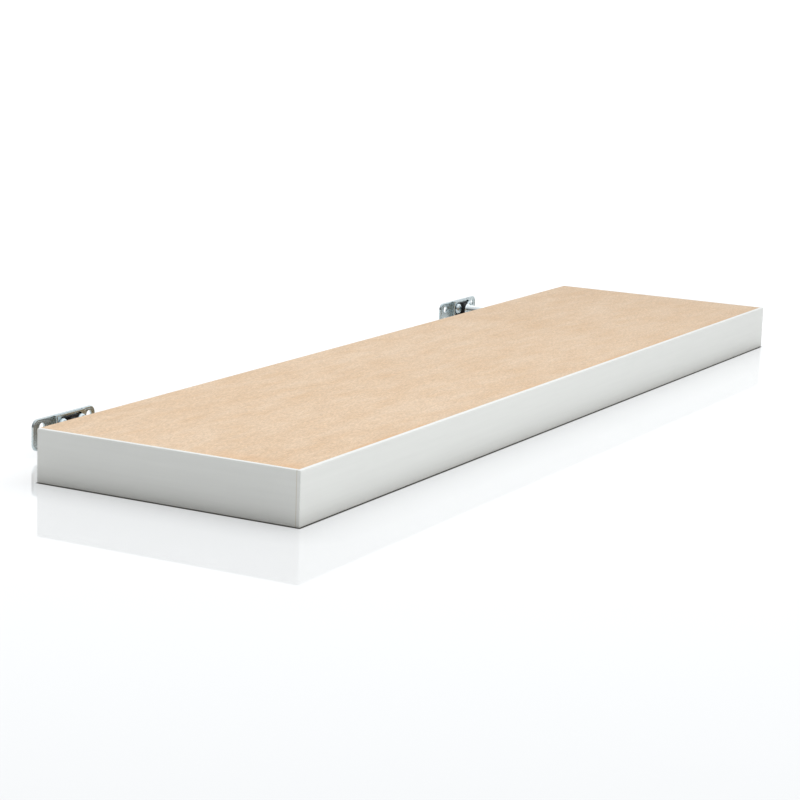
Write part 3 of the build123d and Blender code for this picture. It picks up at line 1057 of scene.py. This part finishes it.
def floor_material(stage):
    """White acrylic of a light table: it glows and mirrors to the eye, and lights things as plain white.
    Painted shade: a dark, unlit contact shadow under the board's outline, a dimmer glow near its foot, and a
    darker, warmer white given back to the board close to it.
    """
    material, tree, shader, place = new_material("white light table")
    haze = place_group(tree, "handling marks", {"Vector": place, "Size": 0.6, "Cover": 0.5})["Marks"]
    base = blend(tree, haze, colour(HAZE), colour(CLEAR))
    away = beside_board(tree, place)
    # Painted contact shadow: under the board's outline the table turns dark and stops glowing.
    outside_painted_shadow = remap(tree, away, CONTACT_INNER, CONTACT_OUTER)
    tree.links.new(blend(tree, outside_painted_shadow, colour(PAINTED_CONTACT_SHADOW), base), shader.inputs["Base Color"])
    tree.links.new(remap(tree, haze, 0.0, 1.0, 0.02, 0.035), shader.inputs["Roughness"])
    shader.inputs["IOR"].default_value = 1.5
    # Painted shade: the table's glow is dimmed close to the board's foot, and fades back to full with
    # distance.
    shade = remap(tree, away, 0.0, stage.shade_width, stage.shade, 1.0)
    lit = sums(tree, "MULTIPLY", outside_painted_shadow, shade)
    glow = blend(tree, lit, colour((0.0, 0.0, 0.0)), colour(GLOW_WHITE))
    tree.links.new(glow, shader.inputs["Emission Color"])
    shader.inputs["Emission Strength"].default_value = stage.table_glow
    # Painted shade: the plain white that lights the board is darker and warmer close to its foot, standing in
    # for less light coming back from the table there.
    painted_bounce_mask = remap(tree, away, 0.0, BOUNCE_REACH, 0.12, 1.0)
    plain_colour = blend(tree, painted_bounce_mask, colour(PAINTED_BOUNCE_SHADE), colour(BOUNCE_WHITE))
    plain = add_node(tree, "ShaderNodeBsdfDiffuse", {"Color": plain_colour})
    eye = add_node(tree, "ShaderNodeLightPath").outputs["Is Camera Ray"]
    seen = add_node(tree, "ShaderNodeMixShader", {0: eye, 1: plain.outputs[0], 2: shader.outputs[0]})
    tree.links.new(seen.outputs[0], tree.nodes["Material Output"].inputs["Surface"])
    return material


def sky_patch(tree, direction, towards, edge, full, strength):
    """Light from one side: nothing beyond an edge angle, full strength near its middle."""
    aim = Vector(towards).normalized()
    facing = add_node(tree, "ShaderNodeVectorMath", {0: direction, 1: aim}, operation="DOT_PRODUCT")
    spread = {
        "Value": facing.outputs["Value"], "From Min": edge, "From Max": full,
        "To Min": 0.0, "To Max": strength,
    }
    return add_node(tree, "ShaderNodeMapRange", spread, interpolation_type="SMOOTHSTEP").outputs[0]


def light_world(stage):
    """Soft surroundings: bright overhead, in front and behind, dimmer to the left, plain white to the eye."""
    world = bpy.data.worlds.new("white studio")
    bpy.context.scene.world = world
    world.use_nodes = True
    tree = world.node_tree
    direction = tree.nodes.new("ShaderNodeTexCoord").outputs["Generated"]
    light = sky_patch(tree, direction, (0, 0, 1), 0.25, 0.95, stage.overhead)
    front = sky_patch(tree, direction, (0.35, -0.85, 0.35), 0.2, 0.95, stage.front)
    behind = sky_patch(tree, direction, (0.86, 0.47, 0.1), 0.35, 0.8, stage.behind)
    light = sums(tree, "ADD", sums(tree, "ADD", light, front), sums(tree, "ADD", behind, stage.sky))
    soft = tree.nodes["Background"]
    soft.inputs["Color"].default_value = (0.985, 0.995, 1.0, 1.0)
    tree.links.new(light, soft.inputs["Strength"])
    seen = add_node(tree, "ShaderNodeBackground", {"Color": (1.0, 1.0, 1.0, 1.0), "Strength": 1.05})
    eye = add_node(tree, "ShaderNodeLightPath").outputs["Is Camera Ray"]
    mixed = add_node(tree, "ShaderNodeMixShader", {0: eye, 1: soft.outputs[0], 2: seen.outputs[0]})
    tree.links.new(mixed.outputs[0], tree.nodes["World Output"].inputs["Surface"])


def add_panel(name, place, target, size, strength):
    """A square soft light that faces a point."""
    data = bpy.data.lights.new(name, "AREA")
    data.shape = "SQUARE"
    data.size = size
    data.energy = strength
    lamp = bpy.data.objects.new(name, data)
    lamp.location = place
    lamp.visible_glossy = False
    lamp.rotation_euler = (Vector(target) - Vector(place)).to_track_quat("-Z", "Y").to_euler()
    bpy.context.scene.collection.objects.link(lamp)


class SHELF_OT_stage(bpy.types.Operator):
    """Adds the pale floor, the soft lights, the white surroundings and the camera"""

    bl_idname = "shelf.stage"
    bl_label = "Stage"

    def execute(self, context):
        stage = context.scene.shelf_stage
        deselect()
        bpy.ops.mesh.primitive_plane_add(size=stage.floor_size, location=(0, 0, -FLOOR_DROP))
        floor = take_primitive("floor")
        dress(floor, floor_material(stage))
        light_world(stage)
        add_panel("softbox", SOFTBOX_PLACE, SOFTBOX_TARGET, SOFTBOX_SIZE, stage.softbox)
        context.scene.view_settings.view_transform = "Standard"
        camera = bpy.data.objects.new("camera", bpy.data.cameras.new("camera"))
        camera.data.lens = stage.lens
        turn = (
            Matrix.Rotation(-stage.heading, 4, "Z")
            @ Matrix.Rotation(math.pi / 2 - stage.downward, 4, "X")
            @ Matrix.Rotation(stage.roll, 4, "Z")
        )
        camera.matrix_world = Matrix.Translation(stage.camera_place) @ turn
        context.scene.collection.objects.link(camera)
        context.scene.camera = camera
        return {"FINISHED"}


# ---------------------------------------------------------------- panel and registration
class SHELF_PT_panel(bpy.types.Panel):
    """Lists the steps that finish the shelf"""

    bl_label = "Wall shelf"
    bl_idname = "SHELF_PT_panel"
    bl_space_type = "VIEW_3D"
    bl_region_type = "UI"
    bl_category = "Wall shelf"

    def draw(self, context):
        for operator in STEPS:
            self.layout.operator(operator.bl_idname)
        for group in (context.scene.shelf_board, context.scene.shelf_bracket, context.scene.shelf_stage):
            box = self.layout.box()
            for name in group.bl_rna.properties.keys():
                if name not in ("rna_type", "name"):
                    box.prop(group, name)


STEPS = (
    SHELF_OT_stage,
    SHELF_OT_board,
    SHELF_OT_edging,
    SHELF_OT_wall_plates,
    SHELF_OT_housings,
    SHELF_OT_carriers,
    SHELF_OT_rods,
    SHELF_OT_clamp_screws,
    SHELF_OT_adjusting_screws,
)
CLASSES = (BoardSettings, BracketSettings, StageSettings, *STEPS, SHELF_PT_panel)


def register():
    for item in CLASSES:
        bpy.utils.register_class(item)
    bpy.types.Scene.shelf_board = PointerProperty(type=BoardSettings)
    bpy.types.Scene.shelf_bracket = PointerProperty(type=BracketSettings)
    bpy.types.Scene.shelf_stage = PointerProperty(type=StageSettings)


def unregister():
    for name in ("shelf_board", "shelf_bracket", "shelf_stage"):
        delattr(bpy.types.Scene, name)
    for item in reversed(CLASSES):
        bpy.utils.unregister_class(item)


def main():
    """Register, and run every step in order."""
    register()
    for build_group in (build_cloud_group, build_streak_group, build_dust_group):
        build_group()
    bpy.ops.shelf.stage()
    bpy.ops.shelf.board()
    bpy.ops.shelf.edging()
    bpy.ops.shelf.wall_plates()
    bpy.ops.shelf.housings()
    bpy.ops.shelf.carriers()
    bpy.ops.shelf.rods()
    bpy.ops.shelf.clamp_screws()
    bpy.ops.shelf.adjusting_screws()
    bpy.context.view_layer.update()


if __name__ == "__main__":
    main()
